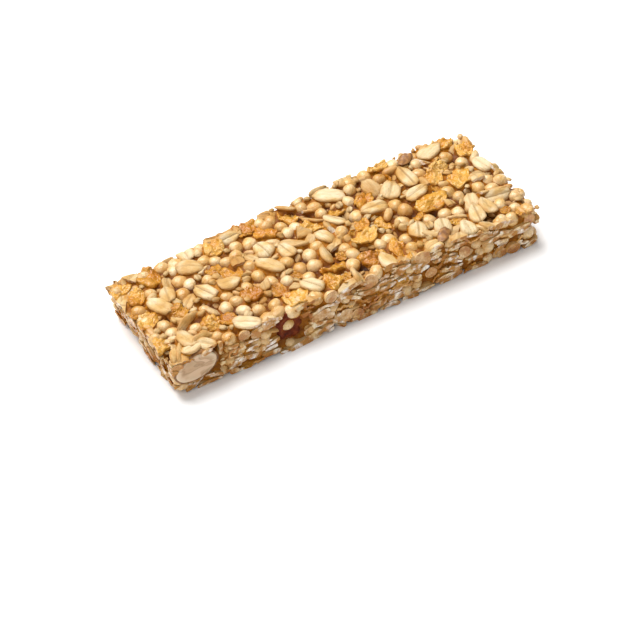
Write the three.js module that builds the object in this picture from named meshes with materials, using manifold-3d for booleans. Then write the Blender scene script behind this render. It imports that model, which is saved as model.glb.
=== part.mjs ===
// Granola bar: a pressed slab of oats, puffed cereal and syrup, cut to a bar.
// A cut almond fills the front left corner and half a dried cranberry shows in the front side.
// Millimetres, +Z up. X runs along the bar, -Y is the front side and Z = 0 is the surface it lies on.
import * as THREE from "three";
import { mergeVertices } from "three/addons/utils/BufferGeometryUtils.js";
import Module from "manifold-3d";

// Driving dimensions of the bar
const LENGTH = 112;
const WIDTH = 40;
const THICKNESS = 13.6; // at its thickest, a little right of the middle
const EDGE_RADIUS = 1.6;

// How far the pressed and cut slab strays from a true block
const END_THINNING = { left: 0.9, right: 0.9 }; // lost thickness at each end
const THICKEST_AT = 8; // X of the thickest section
const WIDER_AT_RIGHT = 0.8; // added to each side at the right end, and taken off at the left
const BACK_BULGE = 1.0; // the back side bows out between the ends
const FRONT_LEAN = 0.9; // the top of the front cut stands back from its foot
const END_UNDERCUT = { front: 0.9, back: 3.4 }; // the left cut slants in under the bar
const CORNER_LOSS = { front: 2.6, back: 0.8 }; // crumbled off the right end's corners

// Cereal relief, pressed into every face but the resting one
const GRAIN_PITCH = { x: 5.2, y: 5.0, z: 4.4 };
const GRAIN_RADIUS = 3.5;
const RELIEF_DEPTH = 0.9;
const GRAIN_JITTER = 0.8; // share of the pitch that a grain strays from its place

// Facets along X, Y and Z
const FACETS = { x: 56, y: 21, z: 7 };

// Almond, cut square across by the front side
const ALMOND = {
  halfWidth: 6.5,
  halfThickness: 4.2,
  length: 11, // from the cut to its tip
  tiltDegrees: 9,
  fromLeftEnd: 7.4,
  height: 8.2,
};
const ALMOND_TIP = 0.35; // how much narrower the almond gets from its cut to its tip

// Dried cranberry, cut open by the front side
const CRANBERRY = {
  halfWidth: 4.2,
  halfHeight: 4.4,
  depth: 5.5,
  tiltDegrees: 20,
  fromLeftEnd: 35.6,
  height: 7.0,
};
const CRANBERRY_SUNK = 0.3; // its cut face stands back from the front side
const WRINKLE = { depth: 0.05, around: 5, along: 3 };

const GAP = 0.3; // clearance between each inclusion and the pocket that it sits in
const REACH = 40; // a cutting block, larger than any inclusion

const COLOURS = { cereal: 0xd9a764, almond: 0xc9a379, cranberry: 0x5a1f10 };

const wasm = await Module();
wasm.setup();

// Share from 0 to 1 that is fixed for each lattice cell and channel
function cellShare(i, j, k, channel) {
  const wave = Math.sin(i * 127.1 + j * 311.7 + k * 74.7 + channel * 53.3) * 43758.5453;
  return wave - Math.floor(wave);
}

// 1 on the crown of a grain of cereal and 0 in the gaps between grains
function grainHeight(point) {
  const cell = ["x", "y", "z"].map((axis) => Math.floor(point[axis] / GRAIN_PITCH[axis]));
  let height = 0;
  for (let i = cell[0] - 1; i <= cell[0] + 1; i++)
    for (let j = cell[1] - 1; j <= cell[1] + 1; j++)
      for (let k = cell[2] - 1; k <= cell[2] + 1; k++) {
        const place = (index, channel) => index + 0.5 + GRAIN_JITTER * (cellShare(i, j, k, channel) - 0.5);
        const dx = point.x - place(i, 0) * GRAIN_PITCH.x;
        const dy = point.y - place(j, 1) * GRAIN_PITCH.y;
        const dz = point.z - place(k, 2) * GRAIN_PITCH.z;
        height = Math.max(height, 1 - (dx * dx + dy * dy + dz * dz) / GRAIN_RADIUS ** 2);
      }
  return height;
}

// Rounds the edges of a true block, then sinks its faces between the grains
function pressedPoint(point) {
  const inner = new THREE.Vector3(
    THREE.MathUtils.clamp(point.x, EDGE_RADIUS - LENGTH / 2, LENGTH / 2 - EDGE_RADIUS),
    THREE.MathUtils.clamp(point.y, EDGE_RADIUS - WIDTH / 2, WIDTH / 2 - EDGE_RADIUS),
    THREE.MathUtils.clamp(point.z, EDGE_RADIUS, THICKNESS - EDGE_RADIUS),
  );
  const outward = point.clone().sub(inner).normalize();
  const round = inner.clone().addScaledVector(outward, EDGE_RADIUS);
  const upwards = Math.min(1, Math.max(0, 1 + outward.z)); // 0 on the resting face
  return round.addScaledVector(outward, -RELIEF_DEPTH * upwards * (1 - grainHeight(round)));
}

// Moves a point of the true block to where the uneven slab has it
function slabPoint(point) {
  const along = point.x / (LENGTH / 2); // -1 at the left end, 1 at the right
  const across = point.y / (WIDTH / 2); // -1 at the front, 1 at the back
  const up = point.z / THICKNESS;
  const fromThickest = (point.x - THICKEST_AT) / (LENGTH / 2);
  const thinning = fromThickest < 0 ? END_THINNING.left : END_THINNING.right;
  const back = (across + 1) / 2;
  const cornerLoss = across < 0 ? CORNER_LOSS.front : CORNER_LOSS.back;
  const slant = THREE.MathUtils.lerp(END_UNDERCUT.front, END_UNDERCUT.back, back);
  const undercut = slant * (1 - up) * Math.max(0, -along) ** 6;
  const crumbled = cornerLoss * across ** 6 * Math.max(0, along) ** 8;
  return new THREE.Vector3(
    point.x + undercut - crumbled,
    point.y +
      across * along * WIDER_AT_RIGHT +
      BACK_BULGE * back * (1 - along ** 2) +
      FRONT_LEAN * (1 - back) * up * (1 - along ** 2),
    point.z - up * thinning * Math.min(1, fromThickest ** 2),
  );
}

// Moves every corner of a geometry by a function
function warped(geometry, move) {
  const position = geometry.getAttribute("position");
  const point = new THREE.Vector3();
  for (let i = 0; i < position.count; i++) {
    point.copy(move(point.fromBufferAttribute(position, i)));
    position.setXYZ(i, point.x, point.y, point.z);
  }
  return geometry;
}

// A closed geometry as a solid that can be cut
function solidOf(geometry) {
  const bare = geometry.clone();
  bare.deleteAttribute("normal");
  bare.deleteAttribute("uv");
  const merged = mergeVertices(bare, 1e-4);
  return new wasm.Manifold(
    new wasm.Mesh({
      numProp: 3,
      vertProperties: merged.getAttribute("position").array,
      triVerts: new Uint32Array(merged.index.array),
    }),
  );
}

// A cut solid as a geometry
function geometryOf(solid) {
  const mesh = solid.getMesh();
  const geometry = new THREE.BufferGeometry();
  geometry.setAttribute("position", new THREE.BufferAttribute(mesh.vertProperties, 3));
  geometry.setIndex(new THREE.BufferAttribute(mesh.triVerts, 1));
  return geometry;
}

// The slab's own shape, before the inclusions' pockets
function slabGeometry() {
  const block = new THREE.BoxGeometry(LENGTH, WIDTH, THICKNESS, FACETS.x, FACETS.y, FACETS.z);
  block.translate(0, 0, THICKNESS / 2);
  return warped(block, (point) => slabPoint(pressedPoint(point)));
}

// Everything behind the front side, set back by a distance
function behindFront(setBack) {
  const block = new THREE.BoxGeometry(2 * REACH, REACH, REACH);
  block.translate(0, REACH / 2 + setBack, 0);
  return block;
}

// A whole almond about its middle, its length along Y, grown all round by a clearance
function almondGeometry(grown) {
  const body = new THREE.SphereGeometry(1, 28, 18);
  return warped(body, ({ x, y, z }) => {
    const waist = 1 - ALMOND_TIP * Math.max(0, y) ** 2;
    return new THREE.Vector3(
      x * waist * (ALMOND.halfWidth + grown),
      y * (ALMOND.length + grown),
      z * waist * (ALMOND.halfThickness + grown),
    );
  }).rotateY(THREE.MathUtils.degToRad(-ALMOND.tiltDegrees));
}

// A whole wrinkled cranberry about its middle, grown all round by a clearance
function cranberryGeometry(grown) {
  const body = new THREE.SphereGeometry(1, 24, 16);
  return warped(body, ({ x, y, z }) => {
    const folds = Math.cos(WRINKLE.around * Math.atan2(y, x)) * Math.cos(WRINKLE.along * Math.PI * z);
    const shrink = 1 - WRINKLE.depth * (1 - folds) * Math.hypot(x, y);
    return new THREE.Vector3(
      x * shrink * CRANBERRY.halfWidth + grown * x,
      y * shrink * CRANBERRY.depth + grown * y,
      z * shrink * CRANBERRY.halfHeight + grown * z,
    );
  }).rotateY(THREE.MathUtils.degToRad(CRANBERRY.tiltDegrees));
}

// Where the middle of an inclusion's cut face lies, on the front side
function placeOf(inclusion) {
  const onFront = new THREE.Vector3(
    inclusion.fromLeftEnd - LENGTH / 2,
    (RELIEF_DEPTH - WIDTH) / 2,
    inclusion.height,
  );
  return slabPoint(onFront);
}

// A named mesh of one food, placed in the bar
function piece(name, geometry, colour, roughness, place) {
  const material = new THREE.MeshStandardMaterial({ color: colour, roughness, metalness: 0 });
  const mesh = new THREE.Mesh(geometry, material);
  mesh.name = name;
  if (place) mesh.position.copy(place);
  return mesh;
}

// An inclusion cut off by the front side
function cutInclusion(geometry, setBack) {
  return geometryOf(solidOf(geometry).intersect(solidOf(behindFront(setBack))));
}

// The slab with a pocket for each inclusion
function cerealBlock(pockets) {
  let slab = solidOf(slabGeometry());
  for (const { geometry, place } of pockets)
    slab = slab.subtract(solidOf(geometry.translate(place.x, place.y, place.z)));
  return geometryOf(slab);
}

function granolaBar() {
  const almondPlace = placeOf(ALMOND);
  const cranberryPlace = placeOf(CRANBERRY);
  const block = cerealBlock([
    { geometry: almondGeometry(GAP), place: almondPlace },
    { geometry: cranberryGeometry(GAP), place: cranberryPlace },
  ]);
  const bar = new THREE.Group();
  bar.add(
    piece("cereal_block", block, COLOURS.cereal, 0.6),
    piece("cut_almond", cutInclusion(almondGeometry(0), 0), COLOURS.almond, 0.5, almondPlace),
    piece(
      "cranberry_piece",
      cutInclusion(cranberryGeometry(0), CRANBERRY_SUNK),
      COLOURS.cranberry,
      0.35,
      cranberryPlace,
    ),
  );
  // The origin is the middle of the resting face
  const middle = new THREE.Box3().setFromObject(bar).getCenter(new THREE.Vector3());
  bar.position.set(-middle.x, -middle.y, 0);
  return bar;
}

export default granolaBar();
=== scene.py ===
"""Granola bar: oats, puffed cereal, corn flakes and rice set in syrup, cut from a pressed slab.

The slab is poured grain by grain onto a flat belt and pressed level. Then its sides are cut as a
knife cuts them, so the grains at the sides show their insides. Sizes are in millimetres until a
piece is finished, when its mesh is brought to metres.
"""

import math
import random
from collections import namedtuple

import bmesh
import bpy
import numpy as np
from mathutils import Matrix, Vector, noise
from mathutils.bvhtree import BVHTree


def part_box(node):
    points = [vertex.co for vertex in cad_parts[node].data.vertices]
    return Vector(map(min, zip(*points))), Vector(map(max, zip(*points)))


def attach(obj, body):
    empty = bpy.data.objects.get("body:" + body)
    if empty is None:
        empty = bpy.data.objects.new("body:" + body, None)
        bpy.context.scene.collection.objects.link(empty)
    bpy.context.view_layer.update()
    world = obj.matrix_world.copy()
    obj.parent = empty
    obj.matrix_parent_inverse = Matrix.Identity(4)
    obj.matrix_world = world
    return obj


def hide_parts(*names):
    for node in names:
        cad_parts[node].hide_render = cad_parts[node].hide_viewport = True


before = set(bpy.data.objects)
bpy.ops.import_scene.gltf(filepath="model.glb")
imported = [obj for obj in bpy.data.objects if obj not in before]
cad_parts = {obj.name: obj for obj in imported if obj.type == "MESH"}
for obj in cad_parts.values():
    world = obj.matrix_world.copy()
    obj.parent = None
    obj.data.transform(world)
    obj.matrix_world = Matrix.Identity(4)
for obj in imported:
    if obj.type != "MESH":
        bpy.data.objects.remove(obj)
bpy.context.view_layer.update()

MM = 0.001  # a millimetre, in the metres of the frame
SEED = 11
chance = random.Random(SEED)

# ---------------------------------------------------------------- the slab's outer faces

FACE_STEP = 1.5  # between samples of a face
CROWN = 0.85  # share of the relief that lies within the smooth face
EDGE_STRIP = 3.4  # near an edge, where a face's samples would meet the rounding


def frame_surface():
    """The CAD bar with its inclusions, as one surface to measure"""
    surface = bmesh.new()
    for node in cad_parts.values():
        surface.from_mesh(node.data)
    return BVHTree.FromBMesh(surface)


class Face:
    """One outer face of the bar: how far out it lies along its axis, over the other two"""

    def __init__(self, surface, low, high, axis, side):
        self.axis, self.side = axis, side
        self.across = [other for other in range(3) if other != axis]
        self.middle = [(low[other] + high[other]) / 2 for other in self.across]
        self.half = [(high[other] - low[other]) / 2 for other in self.across]
        spans = [(low[other] + EDGE_STRIP, high[other] - EDGE_STRIP) for other in self.across]
        counts = [max(5, round((end - start) / FACE_STEP)) for start, end in spans]
        sampled = [np.linspace(*span, count) for span, count in zip(spans, counts)]
        outside = (high if side > 0 else low)[axis] + side
        found = np.empty(counts)
        for i, u in enumerate(sampled[0]):
            for j, v in enumerate(sampled[1]):
                start = Vector((0, 0, 0))
                start[axis], start[self.across[0]], start[self.across[1]] = outside, u, v
                inwards = Vector((0, 0, 0))
                inwards[axis] = -side
                hit = surface.ray_cast(start * MM, inwards)[0]
                found[i, j] = hit[axis] / MM if hit else np.nan  # past a crumbled corner
        self.ticks = [np.linspace(low[other], high[other], 33) for other in self.across]
        self.place = self.fitted(found, sampled)

    def terms(self, ticks):
        """Terms of a smooth face: a curve along it, and straight but tilting across it"""
        grid = np.meshgrid(*ticks, indexing="ij")
        u, v = [(place - m) / h for place, m, h in zip(grid, self.middle, self.half)]
        return np.stack([u**i * v**j for i in range(5) for j in range(2)], axis=-1)

    def fitted(self, found, sampled):
        """A smooth face through the samples, drawn out to the crowns of the relief"""
        terms, kept = self.terms(sampled), ~np.isnan(found)
        weights = np.linalg.lstsq(terms[kept], found[kept], rcond=None)[0]
        off = (found - terms @ weights)[kept] * self.side
        return self.terms(self.ticks) @ weights + self.side * np.quantile(off, CROWN)

    def depth(self, points):
        """How far below this face points lie"""
        points = np.asarray(points, float)
        cells, shares = [], []
        for ticks, other in zip(self.ticks, self.across):
            index = (points[..., other] - ticks[0]) / (ticks[1] - ticks[0])
            index = np.clip(index, 0, len(ticks) - 1.001)
            cells.append(index.astype(int))
            shares.append(index - cells[-1])
        (i, j), (s, t) = cells, shares
        place = (
            self.place[i, j] * (1 - s) * (1 - t)
            + self.place[i + 1, j] * s * (1 - t)
            + self.place[i, j + 1] * (1 - s) * t
            + self.place[i + 1, j + 1] * s * t
        )
        return (place - points[..., self.axis]) * self.side

    def plane_near(self, point):
        """A point on this face nearest along its axis, and the way out of it"""
        steps = np.array(point) + np.vstack([np.zeros(3), np.eye(3)])
        depths = self.depth(steps)
        outward = Vector(depths[0] - depths[1:]).normalized()
        on_face = Vector(point)
        on_face[self.axis] += self.side * depths[0]
        return on_face, outward


corners = [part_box(node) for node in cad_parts]
low = Vector(min(corner[0][axis] for corner in corners) for axis in range(3)) / MM
high = Vector(max(corner[1][axis] for corner in corners) for axis in range(3)) / MM
surface = frame_surface()
# Each face with the axis that it looks along, and which way
FACES = (
    ("left", 0, -1),
    ("right", 0, 1),
    ("front", 1, -1),
    ("back", 1, 1),
    ("under", 2, -1),
    ("top", 2, 1),
)
faces = {name: Face(surface, low, high, axis, side) for name, axis, side in FACES}


def depth_inside(points):
    """How far points lie below the nearest of the bar's faces"""
    return np.min([face.depth(points) for face in faces.values()], axis=0)


# ---------------------------------------------------------------- grains, one by one


def labelled():
    """An empty mesh to model in, whose points keep where they lie in their own grain"""
    grain = bmesh.new()
    grain.verts.layers.float_vector.new("grain_place")
    grain.verts.layers.float.new("tone")
    grain.faces.layers.float.new("cut")
    return grain


def smoothed(mesh):
    """A mesh whose faces are shaded as one smooth surface"""
    for face in mesh.faces:
        face.smooth = True
    return mesh


def keep_places(grain):
    """Writes each point's place in its grain, which patterns on the grain follow"""
    place = grain.verts.layers.float_vector["grain_place"]
    for vert in grain.verts:
        vert[place] = vert.co
    return smoothed(grain)


def lumps(point, size, seed):
    """Smooth unevenness from -1 to 1 whose lumps have that size"""
    return noise.noise(Vector(point) / size + Vector((seed * 7.3, seed * 3.1, seed * 5.7)))


def slice_off(grain, point, outward):
    """Cuts away what lies beyond a plane, and closes the grain with a flat cut face"""
    whole = grain.verts[:] + grain.edges[:] + grain.faces[:]
    cut = bmesh.ops.bisect_plane(
        grain, geom=whole, plane_co=point, plane_no=outward, clear_outer=True, dist=1e-4
    )
    rim = [edge for edge in cut["geom_cut"] if isinstance(edge, bmesh.types.BMEdge)]
    if not rim:
        return
    made = bmesh.ops.contextual_create(grain, geom=rim)["faces"]
    exposed = grain.faces.layers.float["cut"]
    for face in made:
        face.smooth = False
        face[exposed] = 1.0
    for edge in rim:
        edge.smooth = False


def rolled_oat(seed):
    """A steamed and rolled groat: two lobes either side of its crease, with a thin uneven rim"""
    draw = random.Random(seed)
    length, width = draw.uniform(7.2, 9.0), draw.uniform(4.6, 5.6)
    thickness = draw.uniform(1.25, 1.6)
    crease, curl, twist = draw.uniform(0.0, 0.55), draw.uniform(-0.6, 0.6), draw.uniform(-0.5, 0.5)
    taper = draw.uniform(0.1, 0.3)
    grain = labelled()
    poles_along_x = Matrix.Rotation(math.radians(90), 4, "Y")
    bmesh.ops.create_uvsphere(grain, u_segments=16, v_segments=9, radius=1, matrix=poles_along_x)
    for vert in grain.verts:
        x, y, z = vert.co
        if abs(y) < 0.5:
            y *= 0.5  # draws points in beside the crease
        rim = 1 + 0.16 * lumps((x, y, 0), 0.5, seed) + 0.05 * lumps((x, y, 0), 0.2, seed)
        blunt = math.copysign(abs(x) ** 0.85, x)
        vert.co.x = blunt * length / 2 * rim
        vert.co.y = y * (1 - taper * x) * width / 2 * rim
        vert.co.z = math.copysign(abs(z) ** 0.75, z) * thickness / 2
        if abs(y) < 0.05:
            vert.co.z -= (crease if z > 0 else -0.4 * crease) * math.sqrt(max(0, 1 - x * x))
        vert.co.z += curl * x * x + twist * x * y + 0.3 * lumps(vert.co, 1.7, seed)
    return keep_places(grain)


def broken_oat(seed):
    """A piece of a rolled groat, snapped across"""
    draw = random.Random(seed)
    grain = rolled_oat(seed + 500)
    for side in (-1, 1):
        at = Vector((side * draw.uniform(0.6, 2.2), 0, 0))
        way = Vector((side, draw.uniform(-0.9, 0.9), draw.uniform(-0.3, 0.3))).normalized()
        if side > 0 or draw.random() < 0.5:
            slice_off(grain, at, way)
    middle = sum((vert.co for vert in grain.verts), Vector()) / len(grain.verts)
    bmesh.ops.translate(grain, verts=grain.verts, vec=-middle)
    return grain


def puffed_ball(seed):
    """An extruded cereal ball, puffed a little out of round"""
    draw = random.Random(seed)
    grain = labelled()
    bmesh.ops.create_cube(grain, size=1)
    bmesh.ops.subdivide_edges(grain, edges=grain.edges[:], cuts=3, use_grid_fill=True)
    stretch = Vector((draw.uniform(0.94, 1.12), draw.uniform(0.92, 1.04), draw.uniform(0.9, 1.0)))
    for vert in grain.verts:
        out = Vector(math.tan(0.95 * part) for part in vert.co).normalized()
        swell = 1 + 0.13 * lumps(out, 0.9, seed) + 0.05 * lumps(out, 0.35, seed)
        vert.co = out * stretch * 2.0 * swell
    return keep_places(grain)


def puffed_rice(seed):
    """A grain of puffed rice: long, blunt and dented lengthwise"""
    draw = random.Random(seed)
    grain = labelled()
    poles_along_x = Matrix.Rotation(math.radians(90), 4, "Y")
    bmesh.ops.create_uvsphere(grain, u_segments=12, v_segments=8, radius=1, matrix=poles_along_x)
    bend = draw.uniform(-0.5, 0.5)
    for vert in grain.verts:
        x, y, z = vert.co
        swell = 1 + 0.22 * lumps((0.5 * x, y, z), 0.6, seed) + 0.08 * lumps(vert.co, 0.3, seed)
        blunt = math.copysign(abs(x) ** 0.8, x)
        vert.co = Vector((blunt * 2.7, y * 1.35 * swell, z * 1.25 * swell))
        vert.co.z += bend * x * x
    return keep_places(grain)


def corn_flake(seed):
    """A toasted corn flake: a thin blistered sheet, cupped and ragged at its rim"""
    draw = random.Random(seed)
    grain = labelled()
    bmesh.ops.create_grid(grain, x_segments=11, y_segments=10, size=1)
    cup, fold = draw.uniform(-0.5, 0.7), draw.uniform(-1.0, 1.0)
    for vert in grain.verts:
        x, y = vert.co.x, vert.co.y
        x, y = x * math.sqrt(1 - y * y / 2), y * math.sqrt(1 - x * x / 2)
        edge = max(abs(x), abs(y))
        rim = 1 + 0.28 * lumps((x, y, 0), 0.9, seed) + 0.12 * edge * lumps((x, y, 0), 0.35, seed)
        blister = 1.0 * lumps((x, y, 0), 0.36, seed) + 1.0 * lumps((x, y, 0), 0.75, seed + 9)
        vert.co.x, vert.co.y = x * 3.6 * rim, y * 2.9 * rim
        vert.co.z = cup * (x * x + y * y) + fold * x * y + blister
    bmesh.ops.solidify(grain, geom=grain.faces[:], thickness=0.7)
    for vert in grain.verts:
        vert.co += vert.normal * 0.16 * lumps(vert.co, 0.8, seed)
    bmesh.ops.recalc_face_normals(grain, faces=grain.faces[:])
    return keep_places(grain)


def crumb(seed):
    """A crumb of oat or cereal"""
    draw = random.Random(seed)
    grain = labelled()
    bmesh.ops.create_icosphere(grain, subdivisions=2, radius=1)
    half = Vector((draw.uniform(0.9, 1.5), draw.uniform(0.6, 1.0), draw.uniform(0.35, 0.7)))
    for vert in grain.verts:
        swell = 1 + 0.5 * lumps(vert.co, 0.8, seed)
        vert.co = vert.co * half * swell
    return keep_places(grain)


DOMED = 0.5  # flatness on top of a ball, where a slab's is 0
# A kind of grain: how it is made, how many variants, its half sizes, and its flatness on top
Kind = namedtuple("Kind", "make count half flatness")
KINDS = {
    "rolled_oats": Kind(rolled_oat, 20, (4.0, 2.5, 0.75), 0.3),
    "broken_oats": Kind(broken_oat, 20, (2.0, 2.0, 0.65), 0.35),
    "cereal_balls": Kind(puffed_ball, 24, (2.0, 2.0, 1.95), DOMED),
    "rice_puffs": Kind(puffed_rice, 14, (2.7, 1.35, 1.25), DOMED),
    "corn_flakes": Kind(corn_flake, 18, (3.6, 2.9, 0.9), 0.4),
    "crumbs": Kind(crumb, 16, (1.2, 0.8, 0.55), DOMED),
}


def variants(name):
    """The different grains of one kind, as meshes to take copies of"""
    made = []
    for index in range(KINDS[name].count):
        seed = 100 * len(name) + index
        grain = KINDS[name].make(seed)
        mesh = bpy.data.meshes.new(f"{name}_{index}")
        grain.to_mesh(mesh)
        grain.free()
        made.append(mesh)
    return made


# ---------------------------------------------------------------- pouring and pressing

CELL = 0.25
BEYOND = 4.0  # how far the slab runs on past the cuts
SHADOW = 0.98  # share of a grain's outline, squared, that counts as its shadow
FEWEST_CELLS = 6  # a smaller shadow tells nothing
STEEPEST = 0.5  # rise over run of a flat grain that lies on others
STEEPEST_ROUND = 0.2
RESTS_OVER = 0.88  # share of its shadow in which a grain clears the floor
ABOVE_ALL, MOST_OVER = 0.95, 0.15  # in this share, it rises so little past the ceiling
LEAST_ROOM = 1.2  # height left for a grain, by its half thickness
SPOTS = 6  # places tried for each grain, of which it falls into the lowest
MISSES = 50  # grains in a row that find no room, after which the slab is full
GROWTH = (0.92, 1.1)  # of one grain along each of its axes
POURED_ROLL = 10  # degrees
ON_EDGE = 0.06  # share of flat grains that stand on edge
ON_EDGE_ROLL = (50, 90)

# A grain in its place: x, y and z of its middle, turn, roll about its length, slopes and scale
Grain = namedtuple("Grain", "kind variant x y z turn roll rise lean scale tone half")


class Bed:
    """The slab as it fills up: the height of its floor, and of what lies above, cell by cell"""

    def __init__(self):
        self.start = (low.x - BEYOND, low.y - BEYOND)
        counts = [int((high[i] - low[i] + 2 * BEYOND) / CELL) for i in range(2)]
        axes = [self.start[i] + (np.arange(counts[i]) + 0.5) * CELL for i in range(2)]
        self.x, self.y = np.meshgrid(*axes, indexing="ij")
        flat = np.stack([self.x, self.y, np.zeros_like(self.x)], axis=-1)
        self.top = faces["top"].depth(flat)
        self.floor = np.zeros_like(self.top)
        self.ceiling = self.top.copy()

    def window(self, x, y, turn, half, flatness):
        """The cells under a grain, and there its own length and breadth places and its bulge"""
        reach = max(half[0], half[1])
        span = []
        for i, middle in enumerate((x, y)):
            first = max(0, int((middle - reach - self.start[i]) / CELL))
            span.append(slice(first, int((middle + reach - self.start[i]) / CELL) + 1))
        span = tuple(span)
        dx, dy = self.x[span] - x, self.y[span] - y
        along = dx * math.cos(turn) + dy * math.sin(turn)
        aside = dy * math.cos(turn) - dx * math.sin(turn)
        spread = (along / half[0]) ** 2 + (aside / half[1]) ** 2
        inside = spread < SHADOW
        bulge = half[2] * np.where(inside, 1 - spread, 1 - SHADOW) ** flatness
        return span, inside, along, aside, bulge


def lying_half(half, roll):
    """Half sizes of a grain's shadow and height, once rolled about its length"""
    c, s = math.cos(roll), math.sin(roll)
    return (
        half[0],
        math.hypot(half[1] * c, half[2] * s),
        math.hypot(half[1] * s, half[2] * c),
    )


def settle(bed, x, y, turn, half, flatness):
    """Where a grain comes to rest at a spot: its height and slopes, or None if it doesn't fit"""
    span, inside, along, aside, bulge = bed.window(x, y, turn, half, flatness)
    if inside.sum() < FEWEST_CELLS:
        return None
    floor, u, v = bed.floor[span][inside], along[inside], aside[inside]
    slopes = []
    for part in (u, v):
        slope = float((part * (floor - floor.mean())).sum() / (part * part).sum())
        limit = STEEPEST if flatness < DOMED else STEEPEST_ROUND
        slopes.append(max(-limit, min(limit, slope)))
    plane = slopes[0] * u + slopes[1] * v
    rest = float(np.quantile(floor - plane + bulge[inside], RESTS_OVER))
    over = rest + plane + bulge[inside] - bed.ceiling[span][inside]
    if np.quantile(over, ABOVE_ALL) > MOST_OVER:
        return None
    return rest, slopes[0], slopes[1]


def raise_floor(bed, x, y, z, turn, half, flatness, rise=0.0, lean=0.0):
    """Lays a grain's upper side over the floor"""
    span, inside, along, aside, bulge = bed.window(x, y, turn, half, flatness)
    upper = z + rise * along + lean * aside + bulge
    bed.floor[span] = np.where(inside, np.maximum(bed.floor[span], upper), bed.floor[span])


def lower_ceiling(bed, x, y, z, turn, half, flatness):
    """Keeps room for a grain that will lie above"""
    span, inside, _, _, bulge = bed.window(x, y, turn, half, flatness)
    under = z - bulge
    bed.ceiling[span] = np.where(inside, np.minimum(bed.ceiling[span], under), bed.ceiling[span])


def pour(bed, shares, most, sizes):
    """Drops at most that many grains of the given shares, until many in a row find no room"""
    laid, missed = [], 0
    names, weights = list(shares), list(shares.values())
    while len(laid) < most and missed < MISSES:
        name = chance.choices(names, weights)[0]
        kind = KINDS[name]
        grow = chance.uniform(*sizes)
        stretch = [grow * chance.uniform(*GROWTH) for _ in range(3)]
        roll = math.radians(chance.gauss(0, POURED_ROLL))
        if name != "cereal_balls" and chance.random() < ON_EDGE:
            roll = math.radians(chance.uniform(*ON_EDGE_ROLL))
        half = lying_half([a * b for a, b in zip(kind.half, stretch)], roll)
        turn = chance.uniform(0, 2 * math.pi)
        best = None
        room = np.argwhere(bed.ceiling - bed.floor > LEAST_ROOM * half[2])
        if len(room) == 0:
            missed += 1
            continue
        for _ in range(SPOTS):
            i, j = room[chance.randrange(len(room))]
            x, y = float(bed.x[i, j]), float(bed.y[i, j])
            found = settle(bed, x, y, turn, half, kind.flatness)
            if found and (best is None or found[0] < best[2]):
                best = (x, y, *found)
        if best is None:
            missed += 1
            continue
        missed = 0
        x, y, z, rise, lean = best
        raise_floor(bed, x, y, z, turn, half, kind.flatness, rise, lean)
        variant = chance.randrange(kind.count)
        tone = chance.uniform(*GLAZED)
        laid.append(Grain(name, variant, x, y, z, turn, roll, rise, lean, stretch, tone, half))
    return laid


# ---------------------------------------------------------------- what lies where

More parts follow.
